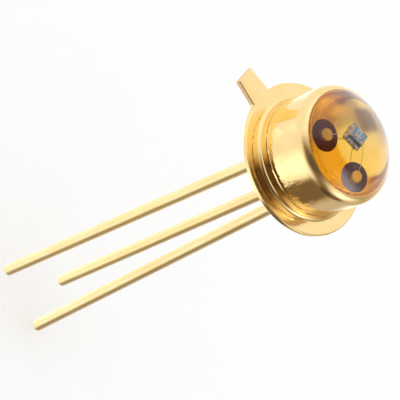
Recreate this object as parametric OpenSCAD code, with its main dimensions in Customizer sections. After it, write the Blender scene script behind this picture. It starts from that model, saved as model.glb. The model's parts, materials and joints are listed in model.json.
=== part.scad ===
// Phototransistor in a round gold-plated metal package with a cast clear lens.
// A pressed shell with flange and index tab is filled with sealing glass that holds the leads.
// The chip sits on the shell's dished top, wired to two posts, under the lens.
// Millimetres. The flange seats at z = 0, and +Z is the package axis, towards the lens.

/* [Header shell] */
// Diameter over the flange
flange_d = 5.75; // [5.5:0.05:6.2]
// Radius of the flange's two edges
flange_edge_r = 0.05; // [0.02:0.01:0.07]
// Thickness of the sheet that the shell is pressed from
sheet_t = 0.2; // [0.16:0.01:0.24]
// Outside diameter of the drawn wall
wall_d = 4.46; // [4.3:0.02:4.7]
// Height of the rounded crest over the seating face
shell_h = 2.55; // [2.3:0.01:3]
// Outside radius of the crest between the wall and the dished top
crest_r = 0.42; // [0.36:0.01:0.46]
// Outside radius where the wall turns out into the flange
foot_fillet = 0.15; // [0.1:0.01:0.2]
// Swelling of the sheet where it is bent into the flange
bend_swell = 0.02; // [0.01:0.005:0.04]
// Inside radius between the wall and the platform
cavity_corner_r = 0.15; // [0.08:0.01:0.2]
// Depth of the chip platform below the crest
dish_depth = 0.03; // [0.02:0.01:0.06]
// Height of the line that drawing left around the foot of the wall
draw_line_z = 0.66; // [0.45:0.01:0.8]
// Depth of that line
draw_line_depth = 0.02; // [0.01:0.005:0.03]
// Radius of the line's rounded bottom
draw_line_r = 0.03; // [0.03:0.005:0.05]

/* [Index tab] */
// Width of the tab at the flange's edge
tab_w = 1.06; // [0.8:0.02:1.2]
// Width of the tab at its tip
tab_tip_w = 0.88; // [0.7:0.02:1.1]
// Reach of the tab past the flange's edge
tab_l = 1.0; // [0.7:0.02:1.25]
// Radius of the tab's corners
tab_corner_r = 0.04; // [0.02:0.01:0.15]
// Radius of the fillets between the tab and the flange
tab_root_r = 0.1; // [0.05:0.01:0.2]
// Turn from the tab to the emitter lead, degrees
tab_turn = 44.2; // [43:0.1:47]

/* [Leads] */
// Diameter of the lead wire
lead_d = 0.45; // [0.4:0.01:0.5]
// Diameter of the circle that the leads stand on
lead_circle_d = 2.54; // [2.4:0.02:2.6]
// Length of the emitter lead below the seating face, along the wire
emitter_l = 16.2; // [12.5:0.05:19]
// Length of the base lead
base_l = 16.5; // [12.5:0.05:19]
// Length of the collector lead
collector_l = 16.05; // [12.5:0.05:19]
// Radius of the rounded end of each lead
lead_tip_r = 0.09; // [0.04:0.01:0.15]
// Height of the two posts over the chip platform
post_rise = 0.2; // [0.1:0.01:0.26]
// Straight stretch of each lead below the seating face
lead_straight = 0.6; // [0.3:0.1:2]
// Radius of the slight bend below that
lead_bend_r = 3; // [1:0.5:6]
// Swelling of the wire where it is bent
wire_swell = 0.004; // [0.003:0.001:0.006]
// Length of that swelling past each end of the bend
swell_lap = 0.05; // [0.03:0.01:0.07]
// Heading that all three leads lean towards, degrees from +X
lean_heading = 295; // [0:5:355]
// Lean of the emitter lead, degrees
emitter_lean = 2.4; // [0.5:0.1:8]
// Lean of the base lead, degrees
base_lean = 5.3; // [0.5:0.1:8]
// Lean of the collector lead, degrees
collector_lean = 2.8; // [0.5:0.1:8]

/* [Sealing glass] */
// Diameter of each glass ring in the platform
ring_d = 1.14; // [1:0.02:1.2]
// Depth of the glass below the seating face
glass_recess = 0.1; // [0.05:0.01:0.2]

/* [Chip] */
// Length of the chip
die_l = 0.56; // [0.5:0.01:0.64]
// Width of the chip
die_w = 0.44; // [0.4:0.01:0.52]
// Thickness of the chip
die_h = 0.22; // [0.16:0.01:0.28]
// Place of the chip's centre along X
die_x = 0.02; // [-0.1:0.01:0.15]
// Place of the chip's centre along Y
die_y = 0.13; // [0:0.01:0.25]
// Turn of the chip's length from +X, degrees
die_turn = 144; // [130:1:160]
// Thickness of the bonding layer under the chip
attach_t = 0.03; // [0.02:0.005:0.05]
// Reach of the bonding layer past the chip's long sides
attach_margin = 0.11; // [0.05:0.01:0.14]
// Reach of the bonding layer past the chip's ends
attach_end = 0.03; // [0.02:0.01:0.08]
// Thickness of the metal film on the chip
film_t = 0.012; // [0.01:0.001:0.02]
// Length of the emitter frame
frame_l = 0.31; // [0.26:0.01:0.34]
// Width of the emitter frame
frame_w = 0.17; // [0.15:0.01:0.2]
// Width of the frame's line
frame_line = 0.042; // [0.03:0.002:0.05]
// Length of the frame's solid end, where the emitter wire lands
frame_land = 0.076; // [0.07:0.002:0.1]
// Place of the frame's centre along the chip's length
frame_x = 0.05; // [0.02:0.01:0.08]
// Place of the frame's centre across the chip
frame_y = -0.035; // [-0.04:0.005:0]
// Side of the base pad
pad_side = 0.1; // [0.08:0.01:0.12]
// Gap between the base pad and the chip's edges
pad_inset = 0.03; // [0.02:0.005:0.04]
// Side of the small test pad between the frame and the base pad
test_pad_side = 0.05; // [0.04:0.005:0.06]
// Gap between the test pad and the frame
test_pad_gap = 0.025; // [0.015:0.005:0.035]

/* [Bond wires] */
// Diameter of the wire
wire_d = 0.032; // [0.025:0.001:0.038]
// Diameter of the flattened bond at each end
bond_d = 0.07; // [0.06:0.002:0.076]
// Height of that bond
bond_h = 0.045; // [0.04:0.005:0.06]
// Distance from each post's axis to the bond on it, towards the chip
post_bond_reach = 0.12; // [0:0.01:0.14]
// Rise of each wire's loop over the straight line between its ends
loop_rise = 0.13; // [0.08:0.01:0.18]

/* [Lens] */
// Rise of the dome over its edge
lens_rise = 0.88; // [0.7:0.02:1]
// Place of the lens's edge on the crest, degrees from the wall to the top
lens_edge_angle = 64; // [58:1:70]
// Height of the lens's blunt edge
lens_edge_t = 0.02; // [0.01:0.005:0.05]

/* [Hidden] */
$fn = 96;
small_fn = 32;
arc_steps = 8;

// Seen from the lens, the leads follow the tab anticlockwise, about half a quarter turn past it and then a quarter apart
emitter_angle = 180;
base_angle = emitter_angle + 90;
collector_angle = base_angle + 90;
tab_angle = emitter_angle - tab_turn;

// Half section of the shell
wall_r = wall_d / 2;
bore_r = wall_r - sheet_t;
foot_r = wall_r + foot_fillet;
foot_z = sheet_t + foot_fillet;
crest_axis = [wall_r - crest_r, shell_h - crest_r];
platform_z = shell_h - dish_depth;
platform_under_z = platform_z - sheet_t;
tab_root = foot_fillet + flange_edge_r;
tab_root_rim = (flange_d - flange_edge_r) / 2;

// Leads and posts
lead_circle_r = lead_circle_d / 2;
post_z = platform_z + post_rise;

// Chip stack
die_z = platform_z + attach_t;
film_z = die_z + die_h;
film_top = film_z + film_t;
frame_place = [frame_x, frame_y];
frame_bond = frame_place + [0, frame_l / 2 - frame_land / 2];
pad_place = [-(die_l - pad_side) / 2 + pad_inset, (die_w - pad_side) / 2 - pad_inset];
test_pad_place = frame_place + [-frame_w / 2 - test_pad_gap - test_pad_side / 2, frame_l / 2 - frame_land];

// Lens
lens_edge = crest_axis + crest_r * [cos(lens_edge_angle), sin(lens_edge_angle)] + [0, lens_edge_t];
lens_r = (lens_edge.x ^ 2 + lens_rise ^ 2) / (2 * lens_rise);
lens_top = lens_edge.y + lens_rise;

gold = "#d8a848";
function arc(centre, radius, start, end) =
    [for (i = [0 : arc_steps]) let (turn = start + (end - start) * i / arc_steps)
        centre + radius * [cos(turn), sin(turn)]];
function on_circle(angle, z) = [lead_circle_r * cos(angle), lead_circle_r * sin(angle), z];
function on_die(p, z) = [die_x + p.x * cos(die_turn) - p.y * sin(die_turn),
                         die_y + p.x * sin(die_turn) + p.y * cos(die_turn), z];

// Half section of everything inside the shell's outer skin
module shell_skin_section() {
    square([flange_d / 2 - flange_edge_r, sheet_t]);
    translate([0, flange_edge_r]) square([flange_d / 2, sheet_t - 2 * flange_edge_r]);
    for (z = [flange_edge_r, sheet_t - flange_edge_r])
        translate([flange_d / 2 - flange_edge_r, z]) circle(r = flange_edge_r, $fn = small_fn);
    difference() {
        square([foot_r, foot_z]);
        translate([foot_r, foot_z]) circle(r = foot_fillet);
    }
    square([wall_r, crest_axis.y]);
    translate(crest_axis) circle(r = crest_r);
    square([crest_axis.x, platform_z]);
}

// Half section of the hollow, with the flared mouth that the flange's bend leaves
module shell_hollow_section() {
    square([bore_r, platform_under_z - cavity_corner_r]);
    square([bore_r - cavity_corner_r, platform_under_z]);
    translate([bore_r - cavity_corner_r, platform_under_z - cavity_corner_r]) circle(r = cavity_corner_r);
    difference() {
        square([foot_r, foot_z]);
        translate([foot_r, foot_z]) circle(r = sheet_t + foot_fillet + bend_swell);
    }
}

// The two round holes in the platform, filled by glass and a post each
module ring_columns() {
    for (angle = [emitter_angle, base_angle])
        translate(on_circle(angle, platform_under_z - cavity_corner_r))
            cylinder(d = ring_d, h = shell_h);
}

// Sides that draw in towards a tip with rounded corners, each with a fillet at its root that runs into the flange's rim
module tab_outline() {
    taper = atan((tab_w - tab_tip_w) / 2 / tab_l);
    outward = [sin(taper), cos(taper)];
    along = [cos(taper), -sin(taper)];
    side = outward * [flange_d / 2, tab_w / 2];
    root_axis = outward * (side + tab_root_r)
        + along * sqrt((tab_root_rim + tab_root_r) ^ 2 - (side + tab_root_r) ^ 2);
    root_turn = atan2(root_axis.y, root_axis.x);
    corner_x = flange_d / 2 + tab_l - tab_corner_r;
    corner_axis = [corner_x, (side - tab_corner_r - outward.x * corner_x) / outward.y];
    half = concat([[flange_d / 2 - tab_root, tab_root_rim * sin(root_turn)]],
                  arc(root_axis, tab_root_r, 180 + root_turn, 270 - taper),
                  arc(corner_axis, tab_corner_r, 90 - taper, 0));
    polygon(concat(half, [for (i = [len(half) - 1 : -1 : 0]) [half[i].x, -half[i].y]]));
}

module header_shell() {
    color(gold) {
        difference() {
            rotate_extrude() difference() {
                shell_skin_section();
                shell_hollow_section();
                translate([wall_r + draw_line_r - draw_line_depth, draw_line_z])
                    circle(r = draw_line_r, $fn = small_fn);
            }
            ring_columns();
        }
        rotate([0, 0, tab_angle]) linear_extrude(sheet_t) tab_outline();
    }
}

module glass_seal() {
    color("#3d2228") difference() {
        union() {
            rotate_extrude() difference() {
                shell_hollow_section();
                square([flange_d, glass_recess]);
            }
            intersection() {
                ring_columns();
                rotate_extrude() shell_skin_section();
            }
        }
        emitter_lead();
        base_lead();
        collector_lead();
    }
}

// A lead's rounded end stretch, from its start along +Z
module lead_tail(length) {
    rotate_extrude() intersection() {
        union() {
            square([lead_d / 2, length - lead_tip_r]);
            square([lead_d / 2 - lead_tip_r, length]);
            translate([lead_d / 2 - lead_tip_r, length - lead_tip_r]) circle(r = lead_tip_r, $fn = small_fn);
        }
        square([lead_d / 2, length]);
    }
}

// One lead: straight through the glass, then a slight bend below the header and a straight tail
module lead_wire(angle, lean, length, top_z) {
    tail = length - lead_straight - lead_bend_r * lean * PI / 180;
    lap_turn = asin(swell_lap / lead_bend_r);
    color(gold) translate(on_circle(angle, -lead_straight)) rotate([0, 0, lean_heading]) {
        cylinder(d = lead_d, h = lead_straight + top_z);
        translate([lead_bend_r, 0, 0]) rotate([-90, 0, 180]) rotate([0, 0, -lap_turn])
            rotate_extrude(angle = lean + 2 * lap_turn)
                translate([lead_bend_r, 0]) circle(d = lead_d + 2 * wire_swell);
        translate([lead_bend_r * (1 - cos(lean)), 0, -lead_bend_r * sin(lean)])
            rotate([0, 180 - lean, 0]) lead_tail(tail);
    }
}

module emitter_lead() { lead_wire(emitter_angle, emitter_lean, emitter_l, post_z); }

module base_lead() { lead_wire(base_angle, base_lean, base_l, post_z); }

module collector_lead() { lead_wire(collector_angle, collector_lean, collector_l, platform_under_z); }

// The chip's own axis and turn, at a height
module on_chip(z) { translate([die_x, die_y, z]) rotate([0, 0, die_turn]) children(); }

// A block that stands centred on its axis
module block(length, width, height) {
    translate([-length / 2, -width / 2, 0]) cube([length, width, height]);
}

module die_attach() {
    color("#cdbfae") on_chip(platform_z)
        block(die_l + 2 * attach_end, die_w + 2 * attach_margin, attach_t);
}

module die() { color("#587c93") on_chip(die_z) block(die_l, die_w, die_h); }

module die_contacts() {
    window_l = frame_l - frame_land - frame_line;
    color("#e6e2d6") on_chip(film_z) {
        translate(frame_place) linear_extrude(film_t) difference() {
            translate([-frame_w / 2, -frame_l / 2]) square([frame_w, frame_l]);
            translate([frame_line - frame_w / 2, frame_line - frame_l / 2])
                square([frame_w - 2 * frame_line, window_l]);
        }
        translate(pad_place) block(pad_side, pad_side, film_t);
        translate(test_pad_place) block(test_pad_side, test_pad_side, film_t);
    }
}

// A bond wire: one round arc in the upright plane through its ends, with a flattened bond at each
module bond_wire(start, end) {
    ends_lift = [0, 0, bond_h / 2];
    span = end - start;
    chord = norm(span);
    loop_r = (chord ^ 2 / 4 + loop_rise ^ 2) / (2 * loop_rise);
    half_turn = asin(chord / 2 / loop_r);
    color("#dcb65c") {
        translate(start + ends_lift)
            rotate([0, -atan2(span.z, norm([span.x, span.y])), atan2(span.y, span.x)])
                translate([chord / 2, 0, loop_rise - loop_r]) rotate([90, 0, 0])
                    rotate([0, 0, 90 - half_turn]) rotate_extrude(angle = 2 * half_turn)
                        translate([loop_r, 0]) circle(d = wire_d, $fn = small_fn);
        for (place = [start, end])
            translate(place) cylinder(d = bond_d, h = bond_h, $fn = small_fn);
    }
}

// A wire from a place on the chip to the near side of a post
module chip_wire(place, angle) {
    start = on_die(place, film_top);
    post = on_circle(angle, post_z);
    span = start - post;
    bond_wire(start, post + post_bond_reach / norm([span.x, span.y]) * [span.x, span.y, 0]);
}

module emitter_wire() { chip_wire(frame_bond, emitter_angle); }

module base_wire() { chip_wire(pad_place, base_angle); }

module lens() {
    color([1, 0.86, 0.6, 0.4]) difference() {
        rotate_extrude() difference() {
            intersection() {
                translate([0, lens_top - lens_r]) circle(r = lens_r);
                translate([0, platform_under_z]) square([lens_edge.x, lens_top]);
            }
            shell_skin_section();
        }
        emitter_lead();
        base_lead();
        die_attach();
        die();
        die_contacts();
        emitter_wire();
        base_wire();
    }
}

header_shell();
glass_seal();
emitter_lead();
base_lead();
collector_lead();
die_attach();
die();
die_contacts();
emitter_wire();
base_wire();
lens();
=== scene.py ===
"""Looks of a phototransistor in a gold-plated metal package with a cast clear lens.

Lengths are in millimetres until a mesh is filled. The sections follow the part as it is put together."""

import json
import math

import bpy
import numpy as np
from mathutils import Matrix, Vector


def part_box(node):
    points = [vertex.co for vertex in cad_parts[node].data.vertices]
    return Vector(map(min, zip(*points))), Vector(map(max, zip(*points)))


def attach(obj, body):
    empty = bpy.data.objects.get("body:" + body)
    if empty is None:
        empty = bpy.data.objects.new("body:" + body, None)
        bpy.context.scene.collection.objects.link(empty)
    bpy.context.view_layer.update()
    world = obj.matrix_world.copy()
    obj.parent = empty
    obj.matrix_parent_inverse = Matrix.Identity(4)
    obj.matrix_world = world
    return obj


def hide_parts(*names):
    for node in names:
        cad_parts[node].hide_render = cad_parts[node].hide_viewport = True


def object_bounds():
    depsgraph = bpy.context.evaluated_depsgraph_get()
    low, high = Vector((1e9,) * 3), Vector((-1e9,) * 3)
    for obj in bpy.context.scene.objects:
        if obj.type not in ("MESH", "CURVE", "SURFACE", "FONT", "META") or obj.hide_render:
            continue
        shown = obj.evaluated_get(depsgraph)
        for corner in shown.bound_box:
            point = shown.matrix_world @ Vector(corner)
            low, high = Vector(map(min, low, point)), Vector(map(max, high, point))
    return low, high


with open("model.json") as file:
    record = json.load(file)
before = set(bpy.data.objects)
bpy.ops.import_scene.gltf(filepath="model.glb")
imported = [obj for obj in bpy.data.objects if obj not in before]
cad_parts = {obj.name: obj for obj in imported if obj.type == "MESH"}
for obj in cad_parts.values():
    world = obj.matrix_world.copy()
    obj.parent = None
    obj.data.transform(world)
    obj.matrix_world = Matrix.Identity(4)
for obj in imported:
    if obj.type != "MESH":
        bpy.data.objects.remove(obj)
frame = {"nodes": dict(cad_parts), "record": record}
cad_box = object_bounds()


# Header shell: a hat pressed from one round of sheet metal, with a flange, an index tab, a drawn wall,
# a rounded crest and a dished top. It is plated with gold all over.
# Drawing left a fine uneven line round the wall's foot; just below it a thin dark line of painted shade
# stands in for the shade of that line's groove.
MM = 0.001
flange_r = min(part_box("header_shell")[1].x, -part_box("header_shell")[0].y) / MM
shell_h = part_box("header_shell")[1].z / MM
lens_edge_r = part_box("lens")[1].x / MM
sheet_t = 0.2
wall_r = 2.23
crest_r = 0.42
foot_fillet = 0.15
bend_swell = 0.02
cavity_corner_r = 0.15
dish_depth = 0.03
flange_edge_r = 0.05
draw_line_z = 0.66
draw_line_depth = 0.005
draw_line_r = 0.03
draw_line_wander = 0.012
# The dark line below the draw line is painted shade, not a mark on the plating.
dark_line_z = 0.575
dark_line_w = 0.02
dark_line_drift = 0.05
worn_from = 0.75
worn_to = 1.5
tab_angle = math.radians(135.8)
tab_w = 1.06
tab_tip_w = 0.88
tab_l = 0.998
tab_corner_r = 0.04
tab_root_r = 0.1
tab_edge_r = 0.042
tab_edge_rows = 7
tab_sink = 0.001
pole_r = 0.01
crease_angle = math.radians(30)
GOLD = (0.97, 0.74, 0.36, 1)
DEEP_GOLD = (0.96, 0.69, 0.30, 1)
RESIN_GOLD = (0.99, 0.63, 0.10, 1)
SHEARED_GOLD = (0.80, 0.56, 0.33, 1)
# Colour of the painted shade line under the draw line.
LINE_SHADE = (0.10, 0.05, 0.02, 1)

bore_r = wall_r - sheet_t
foot_axis = (wall_r + foot_fillet, sheet_t + foot_fillet)
crest_axis = (wall_r - crest_r, shell_h - crest_r)
platform_z = shell_h - dish_depth
platform_under_z = platform_z - sheet_t
cavity_corner = (bore_r - cavity_corner_r, platform_under_z - cavity_corner_r)
toe_rise = math.degrees(math.asin((platform_z - crest_axis[1]) / crest_r))
toe_r = crest_axis[0] - crest_r * math.cos(math.radians(toe_rise))
mouth_r = sheet_t + foot_fillet + bend_swell
mouth_start = 180 + math.degrees(math.acos((foot_axis[0] - bore_r) / mouth_r))


def arc(centre, radius, start, end, count):
    """Points of a circle: the centre plus the radius along (cos, sin) of evenly spaced angles, in degrees."""
    turn = np.radians(np.linspace(start, end, count))
    return np.stack([centre[0] + radius * np.cos(turn), centre[1] + radius * np.sin(turn)], 1)


def straight(start, end, count):
    """Evenly spaced points on the line from start to end, both included."""
    return np.linspace(start, end, count)


def mouth_turn(z):
    """Where the flared mouth's circle about the foot's axis comes down to a height: 180 + asin(drop / r)."""
    return 180 + math.degrees(math.asin((foot_axis[1] - z) / mouth_r))


def revolve(profile, around):
    """A half section (r, z) swept about Z: (r cos a, r sin a, z) for evenly spaced angles a, one row
    for each point of the section."""
    turn = np.linspace(0, 2 * np.pi, around, endpoint=False)
    r, z = profile[:, :1], profile[:, 1:]
    return np.stack([r * np.cos(turn), r * np.sin(turn), z + 0 * turn], -1)


def quads_of(rows, around):
    """Corner numbers of the quads between neighbouring rows of a grid that closes on itself across its
    columns."""
    here = np.arange(rows * around).reshape(rows, around)
    right = np.roll(here, -1, 1)
    return np.stack([here[:-1], right[:-1], right[1:], here[1:]], -1).reshape(-1, 4)


def build(name, *grids):
    """One object of closed shells. Each grid (rows, columns, xyz) gets quads between its rows and a flat
    cap on its first and its last row. A shell whose signed volume, the sum of p0 . (p1 x p2) / 6, is
    negative is turned round."""
    corners, sizes, points, first = [], [], [], 0
    for grid in grids:
        rows, around = grid.shape[:2]
        flat = grid.reshape(-1, 3)
        quads = quads_of(rows, around)
        p = flat[quads]
        volume = (np.cross(p[:, 1] - p[:, 0], p[:, 2] - p[:, 0]) * p[:, 0]).sum()
        volume += (np.cross(p[:, 2] - p[:, 0], p[:, 3] - p[:, 0]) * p[:, 0]).sum()
        caps = np.stack([np.arange(around)[::-1], (rows - 1) * around + np.arange(around)])
        for cap in caps:
            c = flat[cap]
            volume += (np.cross(c[1:-1] - c[0], c[2:] - c[0]) * c[0]).sum()
        if volume < 0:
            quads, caps = quads[:, ::-1], caps[:, ::-1]
        corners += [first + quads.ravel(), first + caps.ravel()]
        sizes += [np.full(len(quads), 4), np.full(2, around)]
        points.append(flat)
        first += rows * around
    corners, sizes = np.concatenate(corners), np.concatenate(sizes)
    mesh = bpy.data.meshes.new(name)
    mesh.vertices.add(first)
    mesh.vertices.foreach_set("co", (np.concatenate(points) * MM).astype(np.float32).ravel())
    mesh.loops.add(len(corners))
    mesh.loops.foreach_set("vertex_index", corners.astype(np.int32))
    mesh.polygons.add(len(sizes))
    mesh.polygons.foreach_set("loop_start", (np.cumsum(sizes) - sizes).astype(np.int32))
    mesh.update(calc_edges=True)
    mesh.validate()
    mesh.shade_smooth()
    mesh.set_sharp_from_angle(angle=crease_angle)
    piece = bpy.data.objects.new(name, mesh)
    bpy.context.scene.collection.objects.link(piece)
    return piece


def shell_section():
    """Half section of the pressed sheet, from the middle of the dish over the crest, down the wall, round
    the flange and back up inside: straights and arcs that meet where the solid's do."""
    line_half = math.sqrt(draw_line_r**2 - (draw_line_r - draw_line_depth) ** 2)
    line_turn = math.degrees(math.asin(line_half / draw_line_r))
    line_axis = (wall_r + draw_line_r - draw_line_depth, draw_line_z)
    rim_r = flange_r - flange_edge_r
    return np.concatenate([
        straight((pole_r, platform_z), (toe_r, platform_z), 12),
        arc(crest_axis, crest_r, 180 - toe_rise, 0, 48)[1:],
        straight((wall_r, crest_axis[1]), (wall_r, draw_line_z + line_half), 14)[1:],
        arc(line_axis, draw_line_r, 180 - line_turn, 180 + line_turn, 9)[1:],
        straight((wall_r, draw_line_z - line_half), (wall_r, foot_axis[1]), 6)[1:],
        arc(foot_axis, foot_fillet, 180, 270, 16)[1:],
        straight((foot_axis[0], sheet_t), (rim_r, sheet_t), 8)[1:],
        arc((rim_r, sheet_t - flange_edge_r), flange_edge_r, 90, 0, 10)[1:],
        arc((rim_r, flange_edge_r), flange_edge_r, 0, -90, 10),
        arc(foot_axis, mouth_r, mouth_turn(0), mouth_start, 12),
        arc(cavity_corner, cavity_corner_r, 0, 90, 8),
        [(pole_r, platform_under_z)],
    ])


def wandering(points):
    """The shell with its draw line moved up and down by a few waves round the wall, fading with height
    from it."""
    x, y, z = np.moveaxis(points, -1, 0)
    a = np.arctan2(y, x)
    waves = np.sin(7 * a + 0.4) + 0.6 * np.sin(17 * a + 2.0)
    waves += 0.5 * np.sin(31 * a + 1.1) + 0.3 * np.sin(53 * a)
    outside = np.hypot(x, y) > (bore_r + wall_r) / 2
    near = np.exp(-(((z - draw_line_z) / (2 * draw_line_r)) ** 2)) * outside
    return np.stack([x, y, z + draw_line_wander * waves * near], -1)


def tab_outline():
    """Plan of the tab along +X: sides that draw in towards a tip with rounded corners, each with a fillet
    at its root that touches the side and a circle just inside the flange's rim."""
    taper = math.atan((tab_w - tab_tip_w) / 2 / tab_l)
    outward = np.array([math.sin(taper), math.cos(taper)])
    along = np.array([math.cos(taper), -math.sin(taper)])
    side = outward @ (flange_r, tab_w / 2)
    rim = flange_r - flange_edge_r / 2
    root_axis = outward * (side + tab_root_r)
    root_axis = root_axis + along * math.sqrt((rim + tab_root_r) ** 2 - (side + tab_root_r) ** 2)
    root_turn = math.degrees(math.atan2(root_axis[1], root_axis[0]))
    corner_x = flange_r + tab_l - tab_corner_r
    corner_axis = (corner_x, (side - tab_corner_r - outward[0] * corner_x) / outward[1])
    half = np.concatenate([
        [(flange_r - flange_edge_r - foot_fillet, rim * math.sin(math.radians(root_turn)))],
        arc(root_axis, tab_root_r, 180 + root_turn, 270 - math.degrees(taper), 12),
        arc(corner_axis, tab_corner_r, 90 - math.degrees(taper), 0, 12),
    ])
    return np.concatenate([half, half[::-1] * (1, -1)])


def tab_plate():
    """The tab's plan carried up a profile: near both faces each plan point moves in, square to the
    outline, along a quarter circle, so that the edges are rounded. Its faces lie a hair inside the
    flange's, which covers its root."""
    plan = tab_outline()
    ahead = np.roll(plan, -1, 0) - np.roll(plan, 1, 0)
    inward = np.stack([ahead[:, 1], -ahead[:, 0]], 1) / np.linalg.norm(ahead, axis=1, keepdims=True)
    swing = np.linspace(0, np.pi / 2, tab_edge_rows)
    inset = tab_edge_r * (1 - np.concatenate([np.sin(swing), np.cos(swing)]))
    lift = tab_edge_r * np.concatenate([1 - np.cos(swing), np.sin(swing)])
    z = lift + np.repeat([tab_sink, sheet_t - tab_sink - tab_edge_r], tab_edge_rows)
    x, y = np.moveaxis(plan + inset[:, None, None] * inward, -1, 0)
    c, s = math.cos(tab_angle), math.sin(tab_angle)
    return np.stack([x * c - y * s, x * s + y * c, z[:, None] + 0 * x], -1)


class Socket:
    """An output of a shader node. Arithmetic on it adds Math nodes, and node() adds any other kind."""

    def __init__(self, tree, out):
        self.tree, self.out = tree, out

    def node(self, kind, settings, sockets, output=0):
        """A new node: its settings are set first, then each socket gets its value or its link."""
        made = self.tree.nodes.new(kind)
        for name, value in settings.items():
            setattr(made, name, value)
        for name, value in sockets.items():
            if isinstance(value, Socket):
                self.tree.links.new(value.out, made.inputs[name])
            else:
                made.inputs[name].default_value = value
        return Socket(self.tree, made.outputs[output])

    def parts(self):
        """The three parts of a vector."""
        return tuple(self.node("ShaderNodeSeparateXYZ", {}, {0: self}, i) for i in range(3))

    def math(self, operation, *others):
        """A Math node on this value and the others after it."""
        return self.node("ShaderNodeMath", {"operation": operation}, dict(enumerate((self, *others))))

    def __add__(self, other):
        return self.math("ADD", other)

    __radd__ = __add__

    def __sub__(self, other):
        return self.math("SUBTRACT", other)

    def __rsub__(self, other):
        return self.node("ShaderNodeMath", {"operation": "SUBTRACT"}, {0: other, 1: self})

    def __mul__(self, other):
        return self.math("MULTIPLY", other)

    __rmul__ = __mul__

    def between(self, low, high):
        """0 below low and 1 above high, with a smooth step between them."""
        return self.node("ShaderNodeMapRange", {"interpolation_type": "SMOOTHSTEP"},
                         {"Value": self, "From Min": low, "From Max": high})

    def past(self, edge, soft):
        """0 before an edge and 1 past it, with a smooth step of a soft width about it, in millimetres."""
        return self.between((edge - soft / 2) * MM, (edge + soft / 2) * MM)

    def blend(self, low, high):
        """The colour low where this value is 0 and high where it is 1."""
        return self.node("ShaderNodeMix", {"data_type": "RGBA"}, {0: self, 6: low, 7: high}, 2)

    def noise(self, size, detail=2.0, stretch=(1, 1, 1)):
        """Cloudy noise on this vector, with lumps of about that size in millimetres, drawn out by stretch."""
        scale = tuple(1 / (size * MM * s) for s in stretch)
        scaled = self.node("ShaderNodeVectorMath", {"operation": "MULTIPLY"}, {0: self, 1: scale})
        return scaled.node("ShaderNodeTexNoise", {}, {"Vector": scaled, "Scale": 1.0, "Detail": detail})

    def bump(self, depth, normal=None):
        """A Normal that this height, from 0 to 1, would give at that depth in millimetres."""
        sockets = {"Height": self, "Distance": depth * MM, "Strength": 1.0}
        if normal is not None:
            sockets["Normal"] = normal
        return self.node("ShaderNodeBump", {}, sockets)


def finish(name, shader_values, dress):
    """A material with one Principled shader: constants go on its own sockets, and dress(point) gives those
    that change over the surface, from the point in Object coordinates."""
    material = bpy.data.materials.new(name)
    material.use_nodes = True
    tree = material.node_tree
    shader = tree.nodes["Principled BSDF"]
    for socket, value in shader_values.items():
        shader.inputs[socket].default_value = value
    place = tree.nodes.new("ShaderNodeTexCoord")
    for socket, value in dress(Socket(tree, place.outputs["Object"])).items():
        tree.links.new(value.out, shader.inputs[socket])
    return material


def plating(point):
    """Gold plate on pressed metal: clouds of slightly deeper gold, a soft unevenness and fine pits. Where
    the resin covers it the gold looks deeper, because less of its blue comes back out of the resin. The
    tab's cut edge is duller and the crest is rougher. A thin dark line of painted shade runs round the
    wall just below its draw line, and the wall is dented above it."""
    clouds = point.noise(1.1, 3.0)
    grain = point.noise(0.05, 3.0)
    swell = point.noise(0.55, 1.0)
    x, y, z = point.parts()
    r = (x * x + y * y).math("SQRT")
    wet = (1 - r.past(lens_edge_r - 0.01, 0.04)) * z.past(platform_under_z - 0.07, 0.1)
    on_tab = r.past(flange_r + 0.055, 0.05)
    sheared = on_tab * z.past(0.04, 0.04) * (1 - z.past(sheet_t - 0.04, 0.04))
    tab_edge = on_tab * (1 - z.past(sheet_t - 0.012, 0.016))
    on_wall = r.past((bore_r + wall_r) / 2, sheet_t) * (1 - r.past(wall_r + 0.015, 0.01))
    # A thin dark line of painted shade just below the draw line, with a wandering height and width.
    drift = z - dark_line_z * MM + dark_line_drift * MM * (point.noise(0.5, 2.0, (1, 1, 9)) - 0.5)
    width = dark_line_w * MM * point.noise(0.25, 2.0, (1, 1, 9)).between(0.3, 0.6)
    line_shade = on_wall * (width - drift.math("ABSOLUTE")).past(0, 0.008)
    crest = z.past(crest_axis[1] - 0.025, 0.25) * (1 - wet)
    dents = z.past(worn_from, 0.1) * (1 - z.past(worn_to, 0.8)) * point.noise(0.2, 3.0, (1, 1, 1.5))
    bare = sheared.blend(clouds.between(0.35, 0.75).blend(GOLD, DEEP_GOLD), SHEARED_GOLD)
    return {
        "Base Color": wet.blend(line_shade.blend(bare, LINE_SHADE), RESIN_GOLD),
        "Roughness": 0.09 + 0.07 * grain.between(0.4, 0.75) + 0.1 * crest + 0.4 * tab_edge,
        "Normal": grain.bump(0.0004, swell.bump(0.006, dents.bump(0.018))),
    }


shell = build("shell", wandering(revolve(shell_section(), 384)), tab_plate())
shell.data.materials.append(finish("gold_plate", {"Metallic": 1.0}, plating))
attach(shell, "root")
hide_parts("header_shell")


# Sealing glass: dark glass melted into the shell, which it fills to just above the flange's underside.
# It stands in two round holes of the platform, where it shows as a dark ring round each post.
lead_d = 0.45
lead_circle_r = 1.27
ring_d = 1.14
ring_proud = 0.004
glass_recess = 0.1
emitter_angle, base_angle, collector_angle = (math.radians(a) for a in (180, 270, 360))
# Colour of a painted highlight on the base post's glass ring.
PAINTED_GLINT_VIOLET = (0.58, 0.48, 0.66, 1)


def skin_z(r):
    """Height of the dish at radius r: the platform out to the toe, then the crest's circle."""
    across = np.clip(np.abs(r - crest_axis[0]), 0, crest_r)
    return np.where(r < toe_r, platform_z, crest_axis[1] + np.sqrt(crest_r**2 - across**2))


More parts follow.
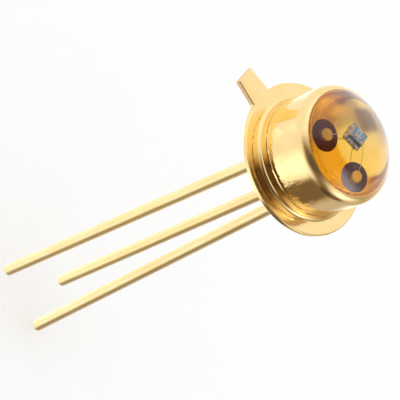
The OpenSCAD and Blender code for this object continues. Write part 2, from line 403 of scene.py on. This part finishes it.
def ring_column(angle):
    """A round column of glass from inside the fill up to the dish: circles about the post, the top ones
    laid on the dish's own height."""
    turn = np.linspace(0, 2 * np.pi, 128, endpoint=False)
    core_r = lead_d / 3
    r = np.concatenate([np.linspace(core_r, ring_d / 2, 24), [ring_d / 2, core_r]])[:, None]
    x = lead_circle_r * math.cos(angle) + r * np.cos(turn)
    y = lead_circle_r * math.sin(angle) + r * np.sin(turn)
    z = skin_z(np.hypot(x, y)) + ring_proud
    z[-2:] = platform_under_z - sheet_t / 2
    return np.stack([x, y, z], -1)


def glass_fill():
    """Half section of the fill: up the flared mouth and the bore, round the corner and across under the
    platform."""
    return np.concatenate([
        [(pole_r, glass_recess)],
        arc(foot_axis, mouth_r, mouth_turn(glass_recess), mouth_start, 8),
        arc(cavity_corner, cavity_corner_r, 0, 90, 8),
        [(pole_r, platform_under_z)],
    ])


def dark_glass(point):
    """Dark red-brown glass with tiny bubbles. Towards the outer side of the base post's ring a pale violet
    painted highlight stands in for a lamp's glint on it.
    """
    clouds = point.noise(0.4, 3.0)
    grain = point.noise(0.03, 2.0)
    x, y, _ = point.parts()
    # A pale violet painted highlight, a lamp's glint, on the outer side of the base post's ring.
    at_base = (x - y).past(0, 0.4)
    outer = -0.7 * (x + y + lead_circle_r * MM) + 0.15 * MM * clouds
    painted_glint = at_base * outer.past(0.275, 0.55)
    dark = clouds.between(0.3, 0.8).blend((0.10, 0.004, 0.001, 1), (0.14, 0.010, 0.002, 1))
    return {
        "Base Color": painted_glint.blend(dark, PAINTED_GLINT_VIOLET),
        "Roughness": 0.12 + 0.1 * grain.between(0.5, 0.8),
        "Normal": grain.bump(0.0006, clouds.bump(0.004)),
    }


glass = build("glass_seals", revolve(glass_fill(), 256), ring_column(emitter_angle), ring_column(base_angle))
glass.data.materials.append(finish("sealing_glass", {"IOR": 1.25}, dark_glass))
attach(glass, "root")
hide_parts("glass_seal")


# Leads: three lengths of drawn round wire, gold plated. Two run up through the glass and end on top as
# flat posts, and the third is welded under the platform. All lean a little, as they were bent in handling.
lead_tip_r = 0.09
post_edge_r = 0.03
lead_straight = 0.6
end_rows = 8
seam_heading = 0.3
WIRE_GOLD = (0.98, 0.80, 0.43, 1)


def tube(path, radii, around):
    """Circles of the given radii set square to a path: centre + r (cos a n + sin a b), where n and b
    complete the path's own direction."""
    along = np.gradient(path, axis=0)
    along /= np.linalg.norm(along, axis=1, keepdims=True)
    side = np.cross(along, np.array([math.cos(seam_heading), math.sin(seam_heading), 0.0]))
    side /= np.linalg.norm(side, axis=1, keepdims=True)
    other = np.cross(along, side)
    turn = np.linspace(0, 2 * np.pi, around, endpoint=False)
    ring = np.cos(turn)[:, None] * side[:, None] + np.sin(turn)[:, None] * other[:, None]
    return path[:, None] + np.asarray(radii)[:, None, None] * ring


def on_circle(angle, z):
    """A place on the circle that the leads stand on: (r cos a, r sin a, z)."""
    return np.array([lead_circle_r * math.cos(angle), lead_circle_r * math.sin(angle), z])


def lead_wire(name, mount, angle):
    """A wire along its own path: down from its top, round a slight bend drawn as a quadratic curve between
    the two straights, and out to its tip. Its radius follows a quarter circle at both ends."""
    pin = next(m for m in frame["record"]["mounts"] if m["name"] == mount)
    axis = np.array(pin["axis"])
    reach = pin["dims"]["length_mm"] / 2
    middle = np.array(pin["pos_m"]) / MM
    top = on_circle(angle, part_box(name)[1].z / MM)
    knee = on_circle(angle, -lead_straight)
    tail, tip = middle - reach * axis, middle + (reach + lead_tip_r) * axis
    t = np.linspace(0, 1, 12)[:, None]
    turn_at = (knee + tail) / 2
    turn_at[:2] = knee[:2]
    bend = (1 - t) ** 2 * knee + 2 * t * (1 - t) * turn_at + t**2 * tail
    quarter = np.linspace(0, np.pi / 2, end_rows)
    top_end = top - np.outer(post_edge_r * (1 - np.sin(quarter)), (0, 0, 1))
    tip_end = tip - np.outer(lead_tip_r * (1 - np.sin(quarter)), axis)
    path = np.concatenate([
        top_end[::-1],
        straight(top_end[0], knee, 8)[1:-1],
        bend,
        straight(tail, tip_end[0], 40)[1:-1],
        tip_end,
    ])
    radii = np.full(len(path), lead_d / 2)
    radii[:end_rows] -= post_edge_r * (1 - np.cos(quarter))[::-1]
    radii[-end_rows:] -= lead_tip_r * (1 - np.cos(quarter))
    return tube(path, radii, 64)


def drawn_wire(point):
    """Plated wire with fine lines along it, duller than the pressed shell, and deeper in the resin."""
    lines = point.noise(0.04, 2.0, (1, 1, 60))
    clouds = point.noise(0.8, 2.0, (1, 1, 3))
    swell = point.noise(0.3, 1.0, (1, 1, 8))
    wet = point.parts()[2].past(platform_z - 0.01, 0.02)
    return {
        "Base Color": wet.blend(clouds.between(0.35, 0.75).blend(WIRE_GOLD, GOLD), RESIN_GOLD),
        "Roughness": 0.4 + 0.1 * lines.between(0.35, 0.75),
        "Normal": lines.bump(0.0006, swell.bump(0.004)),
    }


wire_gold = finish("lead_gold", {"Metallic": 1.0}, drawn_wire)
for node, mount, angle in (
    ("emitter_lead", "emitter_pin", emitter_angle),
    ("base_lead", "base_pin", base_angle),
    ("collector_lead", "collector_pin", collector_angle),
):
    lead = build(node.replace("lead", "wire_lead"), lead_wire(node, mount, angle))
    lead.data.materials.append(wire_gold)
    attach(lead, "root")
    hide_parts(node)


# Chip: a small block of silicon with a blue film on top, bonded to the platform by a pale layer, with a
# bright metal frame and two pads on its top. The solids stay as they are and get their finish here.
die_l = 0.56
die_w = 0.44
die_x = 0.02
die_y = 0.13
die_turn = math.radians(144)
film_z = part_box("die")[1].z / MM
film_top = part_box("die_contacts")[1].z / MM
scribe_w = 0.035
scribe_soft = 0.01
SCRIBED_RIM = (0.42, 0.36, 0.40, 1)
CLEAVED_END = (0.60, 0.50, 0.46, 1)
BOND_HOLLOW = (0.06, 0.04, 0.015, 1)


def on_die(point):
    """A point in the chip's own axes: moved to its centre and turned back by its turn."""
    x, y, z = point.parts()
    x, y = x - die_x * MM, y - die_y * MM
    c, s = math.cos(die_turn), math.sin(die_turn)
    return x * c + y * s, y * c - x * s, z


def inside_scribe(place, size):
    """1 where a place along one of the chip's axes lies inside the sawn rim of that side, and 0 outside."""
    return 1 - place.math("ABSOLUTE").past(size / 2 - scribe_w + scribe_soft / 2, scribe_soft)


def blue_silicon(point):
    """Silicon: blue oxide on top inside a paler sawn rim, dark sawn sides, and a paler cleaved face at one
    end."""
    along, across, z = on_die(point)
    clouds = point.noise(0.2, 2.0)
    mottle = clouds.between(0.3, 0.7)
    top = z.past(film_z - 0.004, 0.004)
    film = mottle.blend((0.10, 0.32, 0.52, 1), (0.18, 0.43, 0.62, 1))
    rim = (inside_scribe(along, die_l) * inside_scribe(across, die_w)).blend(SCRIBED_RIM, film)
    sawn = mottle.blend((0.025, 0.012, 0.010, 1), (0.07, 0.035, 0.028, 1))
    sides = along.past(die_l / 2 - 0.003, 0.002).blend(sawn, CLEAVED_END)
    return {
        "Base Color": top.blend(sides, rim),
        "Roughness": 0.2 + 0.15 * clouds,
    }


def bonding_layer(point):
    """Pale bonding material with a fine matt grain and dark hollows."""
    grain = point.noise(0.04, 3.0)
    hollows = point.noise(0.11, 2.0).between(0.54, 0.60)
    pale = grain.between(0.3, 0.7).blend((0.80, 0.74, 0.68, 1), (0.98, 0.95, 0.92, 1))
    return {
        "Base Color": hollows.blend(pale, BOND_HOLLOW),
        "Roughness": 0.3 + 0.2 * grain,
        "Normal": grain.bump(0.003),
    }


def bright_film(point):
    """Evaporated metal, white and slightly grainy."""
    grain = point.noise(0.02, 2.0)
    return {
        "Base Color": grain.between(0.3, 0.7).blend((0.92, 0.93, 0.94, 1), (0.98, 0.98, 0.98, 1)),
        "Roughness": 0.4 + 0.15 * grain,
    }


def dress_node(node, material):
    """Gives a solid that stays its finish."""
    frame["nodes"][node].data.materials.clear()
    frame["nodes"][node].data.materials.append(material)


dress_node("die", finish("silicon", {"IOR": 1.8}, blue_silicon))
dress_node("die_attach", finish("bonding_layer", {}, bonding_layer))
dress_node("die_contacts", finish("contact_film", {}, bright_film))


# Bond wires: two hair-fine wires pressed flat at both ends, from the chip's frame and pad to the posts.
# Each is one length of round wire that rises in a low arc between its two bonds.
frame_place = (0.05, -0.035)
frame_l = 0.31
frame_land = 0.076
pad_side = 0.1
pad_inset = 0.03
wire_r = 0.0125
wire_rows = 48
bond_r = 0.034
bond_h = 0.045
bond_top_share = 0.35
bond_side_share = 0.3
loop_rise = 0.13
post_bond_reach = 0.12
post_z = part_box("emitter_lead")[1].z / MM


def from_die(along, across, z):
    """A place on the chip, from its own axes to the part's."""
    c, s = math.cos(die_turn), math.sin(die_turn)
    return np.array([die_x + along * c - across * s, die_y + along * s + across * c, z])


def bond_arc(start, end):
    """A wire along a round arc in the upright plane through its ends: the chord plus a rise that follows
    a circle of radius (chord^2 / 4 + rise^2) / (2 rise)."""
    lift = np.array([0, 0, bond_h / 2])
    start, end = start + lift, end + lift
    chord = np.linalg.norm(end - start)
    radius = (chord**2 / 4 + loop_rise**2) / (2 * loop_rise)
    half = math.asin(chord / 2 / radius)
    swing = np.linspace(-half, half, wire_rows)[:, None]
    ahead = (end - start) / chord
    level = np.cross((0, 0, 1), ahead)
    above = np.cross(ahead, level / np.linalg.norm(level))
    height = radius * np.cos(swing) - radius + loop_rise
    path = (start + end) / 2 + radius * np.sin(swing) * ahead + height * above
    return tube(path, np.full(wire_rows, wire_r), 12)


def bond_foot(place):
    """A pressed bond: circles about an upright axis, straight up at first, that then draw in to the top
    along a quarter of an ellipse."""
    turn = np.linspace(0, 2 * np.pi, 24, endpoint=False)
    swing = np.linspace(0, np.pi / 2, 8)
    drawn_in = bond_top_share + (1 - bond_top_share) * np.cos(swing)
    raised = bond_side_share + (1 - bond_side_share) * np.sin(swing)
    r = bond_r * np.concatenate([[1], drawn_in])[:, None]
    z = bond_h * np.concatenate([[0], raised])[:, None]
    return np.stack([place[0] + r * np.cos(turn), place[1] + r * np.sin(turn), place[2] + z + 0 * turn], -1)


def fine_wire(point):
    """Bright fine wire with faint bands of tone."""
    grain = point.noise(0.05, 2.0)
    return {
        "Base Color": grain.between(0.3, 0.7).blend((0.90, 0.72, 0.42, 1), (0.97, 0.84, 0.55, 1)),
        "Roughness": 0.4 + 0.1 * grain,
    }


bond_gold = finish("bond_wire", {"Metallic": 1.0}, fine_wire)
frame_bond = from_die(frame_place[0], frame_place[1] + frame_l / 2 - frame_land / 2, film_top)
pad_bond = from_die(-(die_l - pad_side) / 2 + pad_inset, (die_w - pad_side) / 2 - pad_inset, film_top)
for node, start, angle in (("emitter_wire", frame_bond, emitter_angle), ("base_wire", pad_bond, base_angle)):
    post = on_circle(angle, post_z)
    to_chip = (start - post) * (1, 1, 0)
    end = post + post_bond_reach * to_chip / np.linalg.norm(to_chip)
    wire = build(node.replace("wire", "bond_wire"), bond_arc(start, end), bond_foot(start), bond_foot(end))
    wire.data.materials.append(bond_gold)
    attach(wire, "root")
    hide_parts(node)


# Lens: clear resin cast over the dished top, which it fills round the chip and its wires. Its top is a
# shallow dome and its thin edge lies on the crest.
lens_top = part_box("lens")[1].z / MM
lens_rise = 0.88
sunk = 0.03
clear_resin = {
    "IOR": 1.52,
    "Transmission Weight": 1.0,
    "Sheen Weight": 0.4,
    "Sheen Roughness": 0.35,
    "Coat IOR": 1.85,
    "Coat Roughness": 0.5,
}


def lens_section():
    """Half section of the resin: the dome's arc down to the edge, the blunt edge, and a floor kept just
    inside the metal so that nothing shows between them."""
    dome_r = (lens_edge_r**2 + lens_rise**2) / (2 * lens_rise)
    dome_axis = (0, lens_top - dome_r)
    pole_turn = math.degrees(math.acos(pole_r / dome_r))
    edge_turn = math.degrees(math.acos(lens_edge_r / dome_r))
    floor_r = crest_r - sunk
    start = math.degrees(math.acos((lens_edge_r - crest_axis[0]) / floor_r))
    end = 180 - math.degrees(math.asin((platform_z - sunk - crest_axis[1]) / floor_r))
    return np.concatenate([
        arc(dome_axis, dome_r, pole_turn, edge_turn, 96),
        arc(crest_axis, floor_r, start, end, 32),
        [(pole_r, platform_z - sunk)],
    ])


def cast_resin(point):
    """Clear resin with the faintest waves of casting in its surface, and a thin pale bloom that grows
    towards one side of the dome."""
    waves = point.noise(1.2, 1.0)
    x, y, _ = point.parts()
    return {
        "Base Color": waves.blend((1.0, 0.95, 0.86, 1), (1.0, 0.97, 0.90, 1)),
        "Roughness": 0.015 + 0.02 * waves,
        "Coat Weight": (0.9 * x + 0.44 * y).past(-0.2, 2.4),
    }


lens = build("cast_lens", revolve(lens_section(), 256))
lens.data.materials.append(finish("clear_resin", clear_resin, cast_resin))
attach(lens, "root")
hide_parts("lens")


# Studio: a white floor under the lead tips and an even white light all round. Metal and glass see that
# light as a white tent with dark openings and bright cards, also in place of the floor. Its patches are
# placed as the viewer sees them from the part: turn from the viewer to the right, and rise, in degrees.
scene = bpy.context.scene
scene.view_settings.view_transform = "Standard"
scene.cycles.max_bounces = scene.cycles.glossy_bounces = scene.cycles.transmission_bounces = 24
floor_half = 400
floor_gap = 0.3
tent_level = 1.04
darkest_level = 0.06
WHITE = (1, 1, 1, 1)
DIM_TINT = (1.38, 1.0, 0.66, 1)
view_ahead = Vector((0.6378, 0.2840, -0.7159)).normalized()
view_up = Vector((-0.1597, 0.9581, 0.2378))
back = -view_ahead
right = view_up.cross(back).normalized()
upright = back.cross(right)


def plain_floor():
    """A flat square a little below the lowest lead tip."""
    z = cad_box[0].z / MM - floor_gap
    corners = np.array([(-1, -1), (1, -1), (1, 1), (-1, 1)]) * floor_half
    mesh = bpy.data.meshes.new("floor")
    mesh.from_pydata([(x * MM, y * MM, z * MM) for x, y in corners], [], [(0, 1, 2, 3)])
    made = bpy.data.objects.new("floor", mesh)
    scene.collection.objects.link(made)
    return made


floor = plain_floor()
floor_paint = bpy.data.materials.new("floor_paint")
floor_paint.use_nodes = True
paint = floor_paint.node_tree.nodes["Principled BSDF"]
paint.inputs["Base Color"].default_value = WHITE
paint.inputs["Roughness"].default_value = 1.0
paint.inputs["Specular IOR Level"].default_value = 0.0
floor.data.materials.append(floor_paint)
floor.visible_glossy = False
floor.visible_transmission = False

world = bpy.data.worlds.new("studio")
scene.world = world
world.use_nodes = True
tree = world.node_tree
ray = Socket(tree, tree.nodes.new("ShaderNodeTexCoord").outputs["Generated"])


def towards(direction):
    """How far the ray points along a direction."""
    return ray.node("ShaderNodeVectorMath", {"operation": "DOT_PRODUCT"}, {0: ray, 1: tuple(direction)}, 1)


front, side, lift = towards(back), towards(right), towards(upright)
rise = lift.math("ARCSINE") * math.degrees(1)


def zone(middle, half, turn_soft, low, high, rise_soft):
    """1 inside a patch of directions, 0 outside, with soft sides: the turn within half of the middle, and
    the rise between low and high."""
    c, s = math.cos(math.radians(middle)), math.sin(math.radians(middle))
    turn = (side * c - front * s).math("ARCTAN2", front * c + side * s) * math.degrees(1)
    wide = turn.between(-half - turn_soft, -half) * (1 - turn.between(half, half + turn_soft))
    return wide * rise.between(low - rise_soft, low) * (1 - rise.between(high, high + rise_soft))


left_card = 0.55 * zone(-78, 12, 32, -25, -21, 22)
key_card = 1.3 * zone(79, 6, 32, -49, -47, 22)
back_card = 1.1 * zone(-138, 14, 24, 10, 19, 9)
overhead = 0.2 * zone(41, 28, 35, 53, 57, 28)
rear_glow = 0.3 * zone(175, 18, 22, -15, 20, 15)
opening = 0.84 * zone(11, 26, 37, -6, 9, 29)
opening_core = 0.55 * zone(14, 24, 16, -16, 8, 9)
opening_right = 0.88 * zone(70, 9, 9, -5, 13, 7)
side_stand = 0.55 * zone(94, 17, 10, -27, 3, 9)
below_opening = 0.84 * zone(5, 12, 36, -79, -20, 17)
table_shade = 0.85 * (1 - rise.between(-74, -62))
left_shade = 0.86 * zone(-120, 26, 28, -85, -49.5, 9)
front_shade = 0.75 * zone(-48, 28, 18, -85, -55, 9)
grey_card = 0.46 * zone(143, 49, 28, -69, -38, 26)
grey_side = 0.3 * zone(136, 16, 20, -30, -6, 14)
right_shade = opening_right.math("MAXIMUM", side_stand)
level = tent_level + left_card + key_card + back_card + overhead + rear_glow
for shade in (opening, opening_core, right_shade, below_opening, table_shade, left_shade, front_shade,
              grey_card, grey_side):
    level = level * (1 - shade)
level = level.math("MAXIMUM", darkest_level)
tint = level.between(0.05, 0.8).blend(DIM_TINT, WHITE)
in_metal = ray.node("ShaderNodeLightPath", {}, {}, "Is Glossy Ray")
in_glass = ray.node("ShaderNodeLightPath", {}, {}, "Is Transmission Ray")
mirrored = in_metal.math("MAXIMUM", in_glass)
backdrop = tree.nodes["Background"]
tree.links.new(mirrored.blend(WHITE, tint).out, backdrop.inputs["Color"])
tree.links.new((1 + mirrored * (level - 1)).out, backdrop.inputs["Strength"])


# Camera: the photograph's own view, from a long way off with a long lens, tipped so that the leads run
# to the left.
camera_place = Vector((-72.70, -32.49, 75.99)) * MM
camera_focal = 272.6
sensor_w = 36.0
camera = bpy.data.objects.new("camera", bpy.data.cameras.new("camera"))
scene.collection.objects.link(camera)
camera.matrix_world = Matrix.Translation(camera_place) @ Matrix((right, upright, back)).transposed().to_4x4()
camera.data.lens = camera_focal
camera.data.sensor_width = sensor_w
camera.data.clip_start, camera.data.clip_end = 0.001, 10.0
scene.camera = camera
